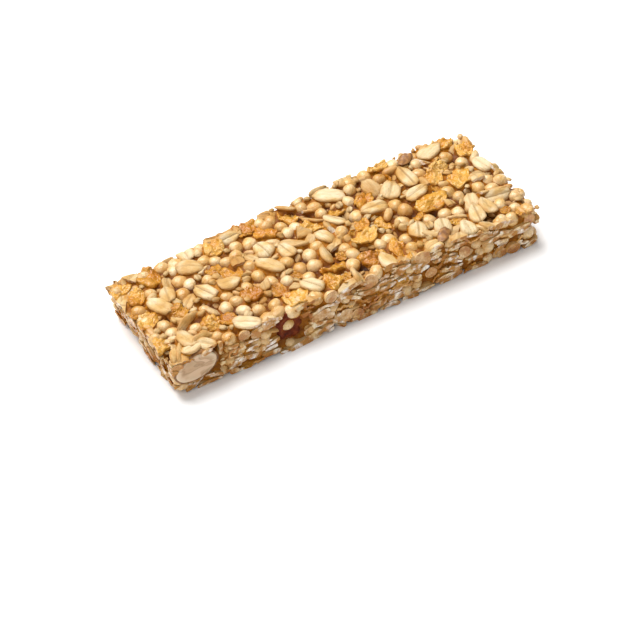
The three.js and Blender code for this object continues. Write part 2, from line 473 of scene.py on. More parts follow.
# Grains that catch the eye on the top, by kind: x, y, turn, length, width, and roll about the
# length
ON_TOP = {
    "rolled_oats": (
        (-47.1, 3.0, 114, 8.0, 5.0, 4),
        (-43.4, 5.6, 75, 7.0, 4.2, -12),
        (-33.4, 11.9, -28, 7.0, 5.0, 5),
        (-34.8, 0.6, 112, 7.4, 4.8, -6),
        (-28.3, 0.1, -6, 6.6, 4.4, 3),
        (-14.1, 6.9, 95, 7.8, 4.9, -4),
        (-15.8, 0.1, 124, 8.6, 5.2, 5),
        (-9.4, 2.6, 100, 6.0, 4.0, -8),
        (-10.9, -13.3, 118, 7.4, 5.0, 4),
        (-31.9, -16.4, -34, 7.6, 5.4, -5),
        (-50.6, -15.6, 57, 8.2, 5.0, 62),
        (-43.7, -6.3, 30, 9.6, 5.0, 68),
        (-19.0, 16.6, 2, 6.2, 3.6, 30),
        (-44.0, -14.6, 6, 6.4, 3.8, 45),
        (-1.6, -4.6, 80, 7.4, 4.4, 40),
        (1.0, -16.4, 84, 7.4, 4.4, 55),
        (11.4, 15.9, 149, 9.2, 5.2, -3),
        (26.4, 8.4, 50, 7.9, 5.2, 6),
        (32.9, 10.6, 90, 9.6, 5.3, -5),
        (18.9, 4.4, 180, 8.4, 5.2, 4),
        (43.6, 16.6, 14, 8.2, 5.6, -6),
        (31.4, 3.5, 8, 8.0, 4.2, 12),
        (23.2, -10.6, 62, 6.2, 5.0, 3),
        (29.6, -12.4, 70, 6.4, 4.9, -4),
        (34.6, -16.9, 82, 6.2, 4.6, 8),
        (39.7, -13.4, 74, 8.2, 4.8, -8),
        (43.9, -12.0, 86, 6.8, 4.2, 14),
        (48.9, -9.1, -14, 8.2, 4.4, 35),
        (10.0, -16.6, 92, 7.0, 4.9, 5),
        (23.4, -18.2, 10, 6.2, 4.6, -6),
        (52.6, 4.4, 100, 7.0, 4.6, -10),
        (10.7, 19.9, 6, 7.4, 4.4, 35),
        (1.8, 1.8, 110, 6.0, 4.4, 12),
        (-41.2, -19.9, 90, 6.0, 5.0, 88),
        (-52.6, -16.2, 60, 5.6, 3.4, 20),
        (-48.0, -16.2, 20, 6.4, 4.2, -10),
        (-44.2, -17.4, -50, 5.4, 3.8, 12),
        (-47.6, -12.6, 100, 6.6, 4.4, 5),
    ),
    "corn_flakes": (
        (-52.4, -0.6, 30, 6.8, 5.0, 0),
        (-54.0, -10.2, 60, 6.2, 5.2, 0),
        (-16.6, -14.9, 20, 7.2, 6.6, 0),
        (-39.2, -9.6, 10, 5.4, 4.6, 0),
        (-53.4, 15.0, 20, 7.6, 5.6, 0),
        (-50.6, 9.6, 70, 6.4, 5.0, 0),
        (-24.4, 15.0, 50, 6.0, 5.2, 0),
        (-5.6, -14.6, 80, 6.8, 4.8, 0),
        (1.6, 7.6, 160, 6.0, 4.6, 0),
        (10.6, -5.0, 15, 8.0, 5.6, 0),
        (32.9, -1.9, 10, 9.2, 6.2, 0),
        (38.6, 6.4, 100, 6.0, 5.2, 0),
        (44.6, 2.6, 40, 8.2, 6.2, 0),
        (48.6, 18.0, 10, 6.8, 4.4, 0),
        (52.2, 12.4, 80, 6.4, 4.6, 0),
        (28.6, 19.4, 15, 6.8, 4.4, 0),
        (15.0, -13.6, 80, 6.4, 4.6, 0),
    ),
}

almond_box = [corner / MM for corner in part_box("cut_almond")]
cranberry_box = [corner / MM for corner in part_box("cranberry_piece")]

# Shares of each kind in a pour, by number
MIX = {"cereal_balls": 50, "rolled_oats": 17, "corn_flakes": 12, "rice_puffs": 7, "broken_oats": 14}
FILLING = {"cereal_balls": 26, "broken_oats": 22, "rice_puffs": 22, "crumbs": 30}
# Pours with the most grains of each and their scales: under the inclusions, and then over them
POURED_UNDER = ((MIX, 2000, (0.85, 1.15)),)
POURED_OVER = ((MIX, 500, (0.8, 1.05)), (FILLING, 900, (0.6, 0.95)))
ROOM_ROUND = (0.3, 0.3, 0.2)  # left round the inclusions along each axis

PALE = (0.62, 1.0)  # tones of the oats that catch the eye
GLAZED = (0.0, 0.66)  # tones of all others, which the syrup has stained

PROUD = 0.25  # the noticeable grains stand a little above the rest
HAND_SLOPE = 0.05  # and lie nearly level

# Strewn over the top after them: kind, how many are tried, the share that others may cover,
# and scales
STREWN = (
    ("rolled_oats", 34, 0.15, (0.75, 1.05)),
    ("corn_flakes", 60, 0.2, (0.7, 1.05)),
    ("cereal_balls", 2200, 0.17, (0.92, 1.18)),
    ("rice_puffs", 250, 0.15, (0.7, 1.05)),
    ("corn_flakes", 500, 0.2, (0.4, 0.65)),
    ("broken_oats", 1000, 0.2, (0.6, 1.0)),
    ("crumbs", 1500, 0.3, (0.8, 1.3)),
)
STREWN_PALE = 0.2  # share of them that is as pale as the noticeable ones
STREWN_INSET = ((1.0, 2.4), (0.8, 1.8))  # from the low and high end of x, and of y
STREWN_ROLL = 22  # degrees
STREWN_SLOPE = 0.12
STREWN_LEVEL = (-0.75, 0.15)  # their tops, from the top of the slab
TAKEN = 0.2  # a place is taken once a grain reaches that far below the top

# What fills bare places of the sides, and how many pieces each side gets at most
PATCHES = {"broken_oats": 45, "cereal_balls": 20, "rice_puffs": 15, "crumbs": 20}
PATCHED = {"front": 140, "back": 140, "left": 50, "right": 60}
PATCH_CELL = 0.4
UNPATCHED = 0.5  # along the edges of a side
CROSSES = 0.95  # of its reach, within which a grain's middle counts as crossing a side
PATCH_SCALE = (0.65, 1.0)
PATCH_ROLL = 14  # degrees
PATCH_SLOPE = 0.1
PATCH_SUNK = (0.2, 0.9)  # their middles, below the side
PATCH_BELOW = 0.5  # at least, from the top of the slab
BARE_ROUND = (1.4, 1.0)  # along and up from the inclusions, where no patches lie
KNIFE_DEPTH = 0.3  # the knife cuts that far inside the crowns of the relief

BALL_AT = (-21.1, 7.2)  # x and z of the pale ball that sits in the cranberry
BALL_VARIANT, BALL_SCALE, BALL_TONE = 3, 0.95, 0.9
BALL_SUNK = 0.15  # its front lies that far below the front side
BARE_LEFT = 1.3  # more of the cranberry lies bare towards the left
BARE_DEEP = 2.5


def laid_by_hand(bed):
    """The noticeable grains, level with the top of the slab, with room kept for them"""
    laid = []
    for name, rows in ON_TOP.items():
        kind = KINDS[name]
        for x, y, turn, length, width, roll in rows:
            scale = [length / 2 / kind.half[0], width / 2 / kind.half[1], 1.0]
            roll, turn = math.radians(roll), math.radians(turn)
            half = lying_half([a * b for a, b in zip(kind.half, scale)], roll)
            z = float(faces["top"].depth((x, y, 0.0))) - half[2] + PROUD
            lower_ceiling(bed, x, y, z, turn, half, kind.flatness)
            variant = chance.randrange(kind.count)
            slopes = [chance.gauss(0, HAND_SLOPE) for _ in range(2)]
            tone = chance.uniform(*PALE)
            laid.append(Grain(name, variant, x, y, z, turn, roll, *slopes, scale, tone, half))
    return laid


def strewn_on_top(bed, name, tries, overlap, sizes):
    """Grains level with the top of the slab, wherever those before them leave room"""
    laid = []
    kind = KINDS[name]
    for _ in range(tries):
        spans = [(low[i] + near, high[i] - far) for i, (near, far) in enumerate(STREWN_INSET)]
        x, y = [chance.uniform(*span) for span in spans]
        grow = chance.uniform(*sizes)
        roll = 0.0 if name == "cereal_balls" else math.radians(chance.gauss(0, STREWN_ROLL))
        half = lying_half([grow * size for size in kind.half], roll)
        turn = chance.uniform(0, 2 * math.pi)
        span, inside, *_ = bed.window(x, y, turn, half, kind.flatness)
        taken = bed.ceiling[span][inside] < bed.top[span][inside] - TAKEN
        if taken.mean() > overlap:
            continue
        level = chance.uniform(*STREWN_LEVEL)
        z = float(faces["top"].depth((x, y, 0.0))) - half[2] + level
        lower_ceiling(bed, x, y, z, turn, half, kind.flatness)
        pale = name != "crumbs" and chance.random() < STREWN_PALE
        tone = chance.uniform(*(PALE if pale else GLAZED))
        slopes = [chance.gauss(0, STREWN_SLOPE) for _ in range(2)]
        variant, scale = chance.randrange(kind.count), [grow] * 3
        laid.append(Grain(name, variant, x, y, z, turn, roll, *slopes, scale, tone, half))
    return laid


def ball_in_cranberry():
    """The pale cereal ball that sits in the cranberry, flush with the front cut"""
    name, scale = "cereal_balls", [BALL_SCALE] * 3
    half = [BALL_SCALE * size for size in KINDS[name].half]
    x, z = BALL_AT
    y = BALL_SUNK + half[1] - float(faces["front"].depth((x, 0.0, z)))
    return Grain(name, BALL_VARIANT, x, y, z, 0, 0, 0, 0, scale, BALL_TONE, half)


def before_cranberry(grain):
    """Whether a grain would hide the cranberry's cut face"""
    lowest, highest = cranberry_box
    middle, half = (lowest + highest) / 2, (highest - lowest) / 2
    aside = (grain.x - middle.x + BARE_LEFT) / (half.x + BARE_LEFT)
    above = (grain.z - middle.z) / half.z
    return math.hypot(aside, above) < 1 and grain.y < lowest.y + BARE_DEEP


def inclusion_shadow(box):
    """An inclusion as a whole ellipsoid about its cut face: x, y, z, turn and half sizes"""
    lowest, highest = box
    middle, size = (lowest + highest) / 2, highest - lowest
    half = [part + room for part, room in zip((size.x / 2, size.y, size.z / 2), ROOM_ROUND)]
    return middle.x, lowest.y, middle.z, 0.0, half, DOMED


class CutFace:
    """A side of the bar, and which of its small square cells no grain reaches yet"""

    def __init__(self, name):
        self.face = faces[name]
        self.along = 1 - self.face.axis
        spans = [(low[i] + UNPATCHED, high[i] - UNPATCHED) for i in (self.along, 2)]
        ticks = [np.arange(start, end, PATCH_CELL) for start, end in spans]
        self.a, self.z = np.meshgrid(*ticks, indexing="ij")
        self.bare = np.ones(self.a.shape, bool)

    def cover(self, a, z, wide, tall):
        """Takes the cells of an oval as covered"""
        self.bare &= ((self.a - a) / wide) ** 2 + ((self.z - z) / tall) ** 2 > 1

    def cover_by(self, grain):
        """Takes the cells where a grain crosses this side as covered"""
        place = (grain.x, grain.y, grain.z)
        reach = (grain.half[0] + grain.half[1]) / 2
        deep = abs(float(self.face.depth(place)) - KNIFE_DEPTH)
        if deep < CROSSES * reach:
            share = math.sqrt(1 - (deep / reach) ** 2)
            self.cover(place[self.along], grain.z, reach * share, grain.half[2] * share)

    def patch(self, most):
        """Grains for at most that many of the bare places"""
        laid = []
        names, weights = list(PATCHES), list(PATCHES.values())
        for _ in range(most):
            spots = np.argwhere(self.bare)
            if len(spots) == 0:
                break
            i, k = spots[chance.randrange(len(spots))]
            name = chance.choices(names, weights)[0]
            kind, grow = KINDS[name], chance.uniform(*PATCH_SCALE)
            roll = math.radians(chance.gauss(0, PATCH_ROLL))
            half = lying_half([grow * size for size in kind.half], roll)
            place = [0.0, 0.0, float(self.z[i, k])]
            place[self.along] = float(self.a[i, k])
            surface_at = float(self.face.depth(place))
            deep = chance.uniform(*PATCH_SUNK)
            place[self.face.axis] = self.face.side * (surface_at - deep)
            highest = place[2] + float(faces["top"].depth(place)) - half[2] - PATCH_BELOW
            place[2] = min(max(place[2], half[2]), highest)
            turn, variant = chance.uniform(0, 2 * math.pi), chance.randrange(kind.count)
            slopes = [chance.gauss(0, PATCH_SLOPE) for _ in range(2)]
            tone = chance.uniform(*GLAZED)
            grain = Grain(name, variant, *place, turn, roll, *slopes, [grow] * 3, tone, half)
            self.cover_by(grain)
            laid.append(grain)
        return laid


def fill_slab():
    """Pours the slab round its inclusions, and gives all its grains"""
    bed = Bed()
    grains = laid_by_hand(bed)
    for name, tries, overlap, sizes in STREWN:
        grains += strewn_on_top(bed, name, tries, overlap, sizes)
    ceiling = bed.ceiling.copy()
    inclusions = [inclusion_shadow(box) for box in (almond_box, cranberry_box)]
    for inclusion in inclusions:
        lower_ceiling(bed, *inclusion)
    for shares, most, sizes in POURED_UNDER:
        grains += pour(bed, shares, most, sizes)
    bed.ceiling = ceiling
    for x, y, z, turn, half, flatness in inclusions:
        raise_floor(bed, x, y, z, turn, half, flatness)
    for shares, most, sizes in POURED_OVER:
        grains += pour(bed, shares, most, sizes)
    for name, most in PATCHED.items():
        side = CutFace(name)
        if name == "front":
            for lowest, highest in (almond_box, cranberry_box):
                middle, half = (lowest + highest) / 2, (highest - lowest) / 2
                side.cover(middle.x, middle.z, half.x + BARE_ROUND[0], half.z + BARE_ROUND[1])
        for grain in grains:
            side.cover_by(grain)
        grains += side.patch(most)
    grains = [grain for grain in grains if not before_cranberry(grain)]
    return [*grains, ball_in_cranberry()]


# ---------------------------------------------------------------- joining and cutting grains

SKIN = 3.4  # grains wholly deeper than this are never seen
KNIFE_SLIPS = 0.3  # unevenness of the cut, in place
KNIFE_TURNS = 0.07  # and in direction
LEAST_INSIDE = 0.25  # a grain that reaches no further inside the cut falls off
MOST_PROUD = 1.9  # round grains stand out no further from the crumbled right end
FLAT_PROUD = 0.9  # nor flat ones than this
BACK_PROUD = 1.1  # whole grains stand out by less than this from the back
ROUND = ("cereal_balls", "rice_puffs")
PUSHED_IN = 2.2  # the knife pushes a round grain in by as much, and does not cut it
PUSHED_SHARE = 0.88


def grain_matrix(grain):
    """How a grain made at the origin is brought to its place"""
    turned = Matrix.Rotation(grain.turn, 4, "Z")
    tipped = Matrix.Rotation(-math.atan(grain.rise), 4, "Y") @ Matrix.Rotation(
        math.atan(grain.lean) + grain.roll, 4, "X"
    )
    size = Matrix.Diagonal((*grain.scale, 1.0))
    return Matrix.Translation((grain.x, grain.y, grain.z)) @ turned @ tipped @ size


def cut_to_slab(mesh, grain):
    """Cuts a placed grain along the faces that it crosses. False if nothing of it stays"""
    middle = (grain.x, grain.y, grain.z)
    for name in ("front", "back", "left", "right"):
        on_face, outward = faces[name].plane_near(middle)
        slip = chance.uniform(-KNIFE_SLIPS, KNIFE_SLIPS)
        turn = Vector(chance.gauss(0, KNIFE_TURNS) for _ in range(3))
        point = on_face - outward * (KNIFE_DEPTH + slip)
        way = (outward + turn).normalized()
        sides = [(vert.co - point).dot(way) for vert in mesh.verts]
        if min(sides) > -LEAST_INSIDE:
            return False
        over = max(sides)
        if name == "right" or (name == "back" and over < BACK_PROUD):
            if sum(sides) > 0 or over > (MOST_PROUD if grain.kind in ROUND else FLAT_PROUD):
                return False
        elif grain.kind in ROUND and 0 < over < PUSHED_IN and chance.random() < PUSHED_SHARE:
            bmesh.ops.translate(mesh, verts=mesh.verts, vec=-way * over)
        elif over > 0:
            slice_off(mesh, point, way)
    for vert in mesh.verts:
        vert.co.z = max(vert.co.z, 0.0)  # pressed flat on the belt
    return len(mesh.faces) > 3


def joined_grains(grains):
    """One mesh for each kind, of all its grains in place"""
    stock = {name: variants(name) for name in KINDS}
    joined = {name: labelled() for name in KINDS}
    scrap = bpy.data.meshes.new("scrap")
    for grain in grains:
        reach = max(grain.half)
        if float(depth_inside((grain.x, grain.y, grain.z))) - reach > SKIN:
            continue
        single = bmesh.new()
        single.from_mesh(stock[grain.kind][grain.variant])
        tone = single.verts.layers.float["tone"]
        for vert in single.verts:
            vert[tone] = grain.tone
        bmesh.ops.transform(single, matrix=grain_matrix(grain), verts=single.verts)
        if cut_to_slab(single, grain):
            single.to_mesh(scrap)
            joined[grain.kind].from_mesh(scrap)
        single.free()
    return joined


def finished(name, mesh, material, slot, *replaced):
    """A bmesh in millimetres as a piece of the bar, riding on its one body"""
    data = bpy.data.meshes.new(name)
    bmesh.ops.scale(mesh, vec=(MM, MM, MM), verts=mesh.verts)
    mesh.to_mesh(data)
    mesh.free()
    return placed(name, data, material, slot, *replaced)


def placed(name, data, material, slot, *replaced):
    """A mesh in metres as a piece of the bar, with how deep each point lies written on it"""
    points = np.empty(len(data.vertices) * 3)
    data.vertices.foreach_get("co", points)
    depths = depth_inside(points.reshape(-1, 3) / MM)
    kept = data.attributes.new("depth", "FLOAT", "POINT")
    kept.data.foreach_set("value", depths.astype(np.float32))
    data.materials.clear()
    data.materials.append(material)
    piece = bpy.data.objects.new(name, data)
    bpy.context.scene.collection.objects.link(piece)
    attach(piece, "root")
    for node in replaced:
        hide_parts(node)
    return piece


# ---------------------------------------------------------------- finishes


def linear(code):
    """An sRGB hex colour as linear red, green, blue and alpha"""
    parts = [int(code[i : i + 2], 16) / 255 for i in (0, 2, 4)]
    return [p / 12.92 if p <= 0.04045 else ((p + 0.055) / 1.055) ** 2.4 for p in parts] + [1.0]


def add(tree, kind, inputs, output=None, stops=(), **settings):
    """Adds a node with its settings, and values or links by socket. Gives one of its outputs"""
    node = tree.nodes.new("ShaderNode" + kind)
    for name, value in settings.items():
        setattr(node, name, value)
    for index, (place, code) in enumerate(stops):
        elements = node.color_ramp.elements
        stop = elements[index] if index < 2 else elements.new(place)
        stop.position, stop.color = place, linear(code)
    for key, value in inputs.items():
        named = [socket for socket in node.inputs if socket.enabled and socket.name == key]
        socket = named[0] if named else node.inputs[key]
        if isinstance(value, bpy.types.NodeSocket):
            tree.links.new(value, socket)
        else:
            socket.default_value = linear(value) if isinstance(value, str) else value
    return node.outputs[output] if output else next(o for o in node.outputs if o.enabled)


def new_finish(name, constants):
    """A material with the constants of its shader, its node tree and its shader"""
    material = bpy.data.materials.new(name)
    material.use_nodes = True
    shader = material.node_tree.nodes["Principled BSDF"]
    for socket, value in constants.items():
        shader.inputs[socket].default_value = value
    return material, material.node_tree, shader


FAR_APART = 90.0  # so that no two grains show the same noise


def grain_pattern(tree, size, detail=3.0, stretch=(1, 1, 1), roughness=0.55):
    """Noise in a grain's own place, of lumps that many millimetres, different in each grain"""
    place = add(tree, "Attribute", {}, "Vector", attribute_name="grain_place")
    tone = add(tree, "Attribute", {}, "Fac", attribute_name="tone")
    apart = add(tree, "Math", {0: tone, 1: FAR_APART}, operation="MULTIPLY")
    scale = [1 / (size * share) for share in stretch]
    shaped = add(tree, "Mapping", {"Vector": place, "Scale": scale})
    inputs = {"Vector": shaped, "W": apart, "Scale": 1, "Detail": detail, "Roughness": roughness}
    return add(tree, "TexNoise", inputs, noise_dimensions="4D")


def slab_pattern(tree, size, detail=3.0):
    """Noise that runs on across all grains, of lumps that many millimetres"""
    place = add(tree, "TexCoord", {}, "Object")
    return add(tree, "TexNoise", {"Vector": place, "Scale": 1 / (size * MM), "Detail": detail})


DEEPEST = 3.6  # depth at which the syrup and its painted shade are darkest

# Syrup over the grains and painted shade in the gaps: how much of them by depth below the faces,
# their colours, darker the deeper they lie, and the syrup as a film
SYRUP_AND_SHADE_BY_DEPTH = ((0.16, "000000"), (0.4, "505050"), (0.7, "b4b4b4"), (1.0, "ececec"))
SYRUP_AND_SHADE_COLOURS = ((0.2, "c68c34"), (0.5, "a16313"), (1.0, "562703"))
SYRUP_FILM = ((0.44, "ffffff"), (0.56, "f4e2bc"), (0.7, "e3c382"))
SMEAR = "b27a2e"  # syrup that the knife draws over the cuts


def uneven_depth(tree, lump, spread):
    """How deep a point lies as a share of the deepest, made uneven by so many millimetres"""
    lumpy = {0: slab_pattern(tree, lump, 2.0), 1: 2 * spread, 2: -spread}
    uneven = add(tree, "Math", lumpy, operation="MULTIPLY_ADD")
    depth = add(tree, "Attribute", {}, "Fac", attribute_name="depth")
    deep = add(tree, "Math", {0: depth, 1: uneven}, operation="ADD")
    return add(tree, "Math", {0: deep, 1: DEEPEST}, operation="DIVIDE")


def in_syrup_and_painted_shade(tree, colour):
    """Colour stained by the syrup's film, and darker with depth below the faces: partly syrup run
    down between grains, partly painted shade in the gaps
    """
    film = add(tree, "ValToRGB", {"Fac": slab_pattern(tree, 5.5, 4.0)}, stops=SYRUP_FILM)
    film_over = {"Factor": 1.0, "A": colour, "B": film}
    stained = add(tree, "Mix", film_over, data_type="RGBA", blend_type="MULTIPLY")
    # painted shade: grains turn to darker syrup colours the deeper they lie below the faces, partly
    # real syrup and partly shade in the gaps
    share = uneven_depth(tree, 1.1, 0.65)
    cover = add(tree, "ValToRGB", {"Fac": share}, stops=SYRUP_AND_SHADE_BY_DEPTH)
    pooled_and_shaded = add(tree, "ValToRGB", {"Fac": share}, stops=SYRUP_AND_SHADE_COLOURS)
    return add(tree, "Mix", {"Factor": cover, "A": stained, "B": pooled_and_shaded}, data_type="RGBA")


# What a grain's finish is made of: its tones from dark to pale, those of its inside, the size in
# millimetres of its mottles and how far they stretch along each axis, the size, height and detail
# of its fine relief, its roughness, how much light passes through it, and its coat of syrup
Look = namedtuple("Look", "tones inside mottle stretch relief roughness soft coat")
TONE_BY_GRAIN, TONE_BY_MOTTLE, DARKER = 0.62, 0.9, 0.27  # what makes up a point's shade


def grain_finish(name, look, crease=None):
    """A glazed grain: tones by grain and by mottle, the darker mottles lying in the hollows of its
    bump as painted shade, paler where cut, syrup and painted shade in the gaps
    """
    constants = {
        "Specular IOR Level": 0.4,
        "Coat Weight": look.coat,
        "Coat Roughness": 0.2,
        "Subsurface Weight": look.soft,
        "Subsurface Radius": (1.0, 0.7, 0.4),
        "Subsurface Scale": 0.5 * MM,
    }
    material, tree, shader = new_finish(name, constants)
    size, height, detail = look.relief
    # painted shade: these mottles set the tone and also raise the bump, so the darker mottles lie in
    # its hollows
    mottles = grain_pattern(tree, look.mottle, 4.0, look.stretch)
    fine = grain_pattern(tree, size, detail, look.stretch, 0.6)
    tone = add(tree, "Attribute", {}, "Fac", attribute_name="tone")
    mottled = add(tree, "Math", {0: mottles, 1: TONE_BY_MOTTLE, 2: -DARKER}, operation="MULTIPLY_ADD")
    shade = add(tree, "Math", {0: tone, 1: TONE_BY_GRAIN, 2: mottled}, operation="MULTIPLY_ADD")
    colour = add(tree, "ValToRGB", {"Fac": shade}, stops=look.tones)

    speckled = {"Value": fine, "From Min": 0.56, "From Max": 0.7, "To Max": 0.5}
    specks = add(tree, "MapRange", speckled)
    dark = crease or look.tones[0][1]
    colour = add(tree, "Mix", {"Factor": specks, "A": colour, "B": dark}, data_type="RGBA")
    if crease:
        colour = creased(tree, colour, tone, crease)

    porous = {"Value": grain_pattern(tree, 0.5), "From Min": 0.35, "From Max": 0.65}
    pores = add(tree, "MapRange", porous)
    inside = add(tree, "ValToRGB", {"Fac": pores}, stops=look.inside)
    patchy = {"Value": slab_pattern(tree, 2.2), "From Min": 0.43, "From Max": 0.62}
    bare = add(tree, "MapRange", patchy)
    smeared = add(tree, "Mix", {"Factor": bare, "A": SMEAR, "B": inside}, data_type="RGBA")
    cut = add(tree, "Attribute", {}, "Fac", attribute_name="cut")
    colour = add(tree, "Mix", {"Factor": cut, "A": colour, "B": smeared}, data_type="RGBA")
    tree.links.new(in_syrup_and_painted_shade(tree, colour), shader.inputs["Base Color"])

    both = add(tree, "Math", {0: mottles, 1: 0.6, 2: fine}, operation="MULTIPLY_ADD")
    bump = add(tree, "Bump", {"Height": both, "Strength": 0.8, "Distance": height * MM})
    tree.links.new(bump, shader.inputs["Normal"])
    uneven = {
        "Value": mottles,
        "From Min": 0.3,
        "From Max": 0.7,
        "To Min": look.roughness - 0.1,
        "To Max": look.roughness + 0.12,
    }
    tree.links.new(add(tree, "MapRange", uneven), shader.inputs["Roughness"])
    return material


RIM = "bd8e4e"  # an oat browns at its thin rim
OAT_OVAL = [0.25, 0.4, 0.0]  # one over an oat's half length and width


def creased(tree, colour, tone, crease):
    """Colour with a thin line along the grain, plain on some grains, and a browner rim"""
    place = add(tree, "Attribute", {}, "Vector", attribute_name="grain_place")
    aside = add(tree, "SeparateXYZ", {"Vector": place}, "Y")
    off = add(tree, "Math", {0: aside}, operation="ABSOLUTE")
    thin = {"Value": off, "From Min": 0.06, "From Max": 0.5, "To Min": 0.9, "To Max": 0.0}
    line = add(tree, "MapRange", thin)
    plain = add(tree, "TexWhiteNoise", {"W": tone}, "Value", noise_dimensions="1D")
    share = add(tree, "Math", {0: line, 1: plain}, operation="MULTIPLY")
    lined = add(tree, "Mix", {"Factor": share, "A": colour, "B": crease}, data_type="RGBA")
    oval = add(tree, "Mapping", {"Vector": place, "Scale": OAT_OVAL})
    radius = add(tree, "VectorMath", {0: oval}, "Value", operation="LENGTH")
    outer = {"Value": radius, "From Min": 0.72, "From Max": 1.02, "To Max": 0.55}
    rim = add(tree, "MapRange", outer)
    return add(tree, "Mix", {"Factor": rim, "A": lined, "B": RIM}, data_type="RGBA")


def glazed_oat():
    """Steamed and rolled oats in syrup: cream and streaked lengthwise, with a tan crease"""
    tones = ((0.0, "b89256"), (0.35, "cba974"), (0.65, "d8bf92"), (1.0, "e4d2b0"))
    inside = ((0.0, "e4d4bc"), (1.0, "fdf9f2"))
    look = Look(tones, inside, 0.9, (3.0, 0.6, 1.0), (0.45, 0.32, 4.0), 0.56, 0.12, 0.04)
    return grain_finish("glazed_oat", look, "94713c")


def glazed_puffed_cereal():
    """Extruded and puffed cereal in syrup: golden beige, faintly mottled, satin"""
    tones = ((0.0, "c79a5c"), (0.35, "d9b680"), (0.7, "e6cda2"), (1.0, "efe0c2"))
    inside = ((0.0, "c2935a"), (1.0, "e4c694"))
    look = Look(tones, inside, 0.9, (1, 1, 1), (0.6, 0.34, 3.0), 0.3, 0.15, 0.4)
    return grain_finish("glazed_puffed_cereal", look)


def glazed_puffed_rice():
    """Puffed rice in syrup: beige, dented and nearly matt"""
    tones = ((0.0, "bb8f52"), (0.4, "d0ab76"), (0.8, "e2c99c"), (1.0, "eedcba"))
    inside = ((0.0, "c9a57a"), (1.0, "ecdab8"))
    look = Look(tones, inside, 0.7, (2.0, 1, 1), (0.4, 0.2, 3.0), 0.46, 0.15, 0.2)
    return grain_finish("glazed_puffed_rice", look)


def glazed_corn_flake():
    """Toasted corn flakes in syrup: golden, and deep orange in the hollows of their bump as painted
    shade, glossy
    """
    tones = ((0.0, "ae7420"), (0.35, "c3882b"), (0.65, "d29d42"), (1.0, "e4bf7c"))
    inside = ((0.0, "c48a3c"), (1.0, "e4bb76"))
    look = Look(tones, inside, 1.1, (1, 1, 1), (1.0, 0.8, 1.0), 0.24, 0.06, 0.12)
    return grain_finish("glazed_corn_flake", look)


def boiled_syrup():
    """Boiled glucose syrup: amber near the bar's faces, browner to nearly black deeper below them,
    which is painted shade in the gaps, satin
    """
    constants = {"Roughness": 0.36, "Specular IOR Level": 0.12}
    material, tree, shader = new_finish("boiled_syrup", constants)
    # painted shade: the syrup's colour darkens with its depth below the faces
    stops = ((0.05, "ba8029"), (0.25, "a0620e"), (0.6, "6a3602"), (1.0, "321501"))
    colour = add(tree, "ValToRGB", {"Fac": uneven_depth(tree, 1.6, 1.0)}, stops=stops)
    tree.links.new(colour, shader.inputs["Base Color"])
    height = {"Height": slab_pattern(tree, 0.7, 4.0), "Strength": 0.8, "Distance": 0.3 * MM}
    tree.links.new(add(tree, "Bump", height), shader.inputs["Normal"])
    return material


def cut_almond_flesh():
    """Almond flesh: waxy and beige, paler at the rim, with a faint swirl between its halves"""
    constants = {"Roughness": 0.42, "Subsurface Weight": 0.15, "Subsurface Scale": MM}
    material, tree, shader = new_finish("cut_almond_flesh", constants)
    place = add(tree, "TexCoord", {}, "Object")
    centred = add(tree, "Mapping", {"Vector": place, "Location": -almond_centre() * MM})
    swirls = {"Vector": centred, "Scale": [0.12 / MM, 0.12 / MM, 0.3 / MM]}
    shaped = add(tree, "Mapping", swirls)
    bends = {"Vector": shaped, "Scale": 1.0, "Detail": 1.0, "Distortion": 1.2}
    swirl = add(tree, "TexNoise", bends)
    stops = ((0.3, "ae8a62"), (0.46, "bd9a74"), (0.5, "a27e56"), (0.56, "cbab88"))
    colour = add(tree, "ValToRGB", {"Fac": swirl}, stops=stops)
    # The oval of the cut as a circle, in which its rim lies a little past 1
    oval = add(tree, "Mapping", {"Vector": centred, "Scale": [0.16 / MM, 0, 0.25 / MM]})
    radius = add(tree, "VectorMath", {0: oval}, "Value", operation="LENGTH")
    rim = add(tree, "MapRange", {"Value": radius, "From Min": 0.7, "To Max": 0.8})
    colour = add(tree, "Mix", {"Factor": rim, "A": colour, "B": "dcc7a8"}, data_type="RGBA")
    tree.links.new(colour, shader.inputs["Base Color"])
    height = {"Height": swirl, "Strength": 0.4, "Distance": 0.3 * MM}
    tree.links.new(add(tree, "Bump", height), shader.inputs["Normal"])
    return material


def mottled_finish(name, constants, size, height, stops):
    """A finish whose colour and wrinkles follow lumps of that many millimetres"""
    material, tree, shader = new_finish(name, constants)
    lumpy = slab_pattern(tree, size, 4.0)
    colour = add(tree, "ValToRGB", {"Fac": lumpy}, stops=stops)
    tree.links.new(colour, shader.inputs["Base Color"])
    bump = add(tree, "Bump", {"Height": lumpy, "Strength": 0.8, "Distance": height * MM})
    tree.links.new(bump, shader.inputs["Normal"])
    return material


def dried_almond_skin():
    """Almond skin: thin, brown and finely wrinkled, satin"""
    stops = ((0.3, "6b4120"), (0.7, "b07c42"))
    return mottled_finish("dried_almond_skin", {"Roughness": 0.4}, 1.1, 0.15, stops)


def dried_cranberry():
    """Dried cranberry: nearly black red, browner where light passes through, sticky"""
    constants = {"Roughness": 0.34, "Specular IOR Level": 0.08}
    stops = ((0.3, "3f1003"), (0.55, "6a2807"), (0.75, "8e4d15"))
    return mottled_finish("dried_cranberry", constants, 2.0, 0.4, stops)


# ---------------------------------------------------------------- syrup, almond and cranberry


